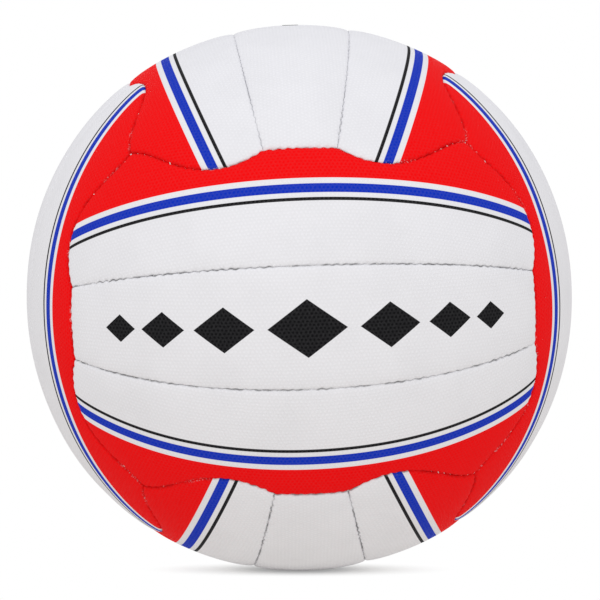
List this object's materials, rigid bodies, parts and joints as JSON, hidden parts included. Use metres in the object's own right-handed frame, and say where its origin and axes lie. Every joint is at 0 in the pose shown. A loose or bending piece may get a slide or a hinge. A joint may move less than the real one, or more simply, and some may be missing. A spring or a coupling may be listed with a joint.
{
  "type": "netball",
  "caption": "Stitched netball: pimpled grip-rubber strips in interlocking faces over cloth linings and an air bladder, with a plug valve for an inflating needle",
  "frame": {"origin": "the centre of the ball", "axes": "+Z out through the valve at the top; -Y out through the front face, whose strips run along X"},
  "size_m": [0.2228, 0.2228, 0.2227],
  "materials": {
    "grip_rubber": "off-white pimpled grip rubber with printed red, blue and black bands, satin",
    "lining_cloth": "unbleached laminated poly-cotton cloth",
    "seam_thread": "waxed white polyester thread",
    "bladder_rubber": "black butyl rubber",
    "valve_rubber": "black moulded rubber",
    "valve_core_rubber": "dark grey moulded rubber"
  },
  "bodies": {
    "ball": {"front_lower_cover": "grip_rubber", "front_middle_cover": "grip_rubber", "front_upper_cover": "grip_rubber", "back_lower_cover": "grip_rubber", "back_middle_cover": "grip_rubber", "back_upper_cover": "grip_rubber", "left_front_cover": "grip_rubber", "left_middle_cover": "grip_rubber", "left_back_cover": "grip_rubber", "right_front_cover": "grip_rubber", "right_middle_cover": "grip_rubber", "right_back_cover": "grip_rubber", "top_left_cover": "grip_rubber", "top_middle_cover": "grip_rubber", "top_right_cover": "grip_rubber", "bottom_left_cover": "grip_rubber", "bottom_middle_cover": "grip_rubber", "bottom_right_cover": "grip_rubber", "front_lower_lining": "lining_cloth", "front_middle_lining": "lining_cloth", "front_upper_lining": "lining_cloth", "back_lower_lining": "lining_cloth", "back_middle_lining": "lining_cloth", "back_upper_lining": "lining_cloth", "left_front_lining": "lining_cloth", "left_middle_lining": "lining_cloth", "left_back_lining": "lining_cloth", "right_front_lining": "lining_cloth", "right_middle_lining": "lining_cloth", "right_back_lining": "lining_cloth", "top_left_lining": "lining_cloth", "top_middle_lining": "lining_cloth", "top_right_lining": "lining_cloth", "bottom_left_lining": "lining_cloth", "bottom_middle_lining": "lining_cloth", "bottom_right_lining": "lining_cloth", "front_strip_threads": "seam_thread", "back_strip_threads": "seam_thread", "left_strip_threads": "seam_thread", "right_strip_threads": "seam_thread", "top_strip_threads": "seam_thread", "bottom_strip_threads": "seam_thread", "front_lower_border_threads": "seam_thread", "front_upper_border_threads": "seam_thread", "back_lower_border_threads": "seam_thread", "back_upper_border_threads": "seam_thread", "left_front_border_threads": "seam_thread", "left_back_border_threads": "seam_thread", "right_front_border_threads": "seam_thread", "right_back_border_threads": "seam_thread", "top_left_border_threads": "seam_thread", "top_right_border_threads": "seam_thread", "bottom_left_border_threads": "seam_thread", "bottom_right_border_threads": "seam_thread", "bladder": "bladder_rubber", "valve_housing": "valve_rubber"},
    "valve_core": {"valve_core": "valve_core_rubber"}
  },
  "joints": [
    {"name": "valve_core_pull", "type": "slide", "parent": "ball", "child": "valve_core", "axis": [0, 0, 1], "range_m": [0, 0.022]}
  ]
}
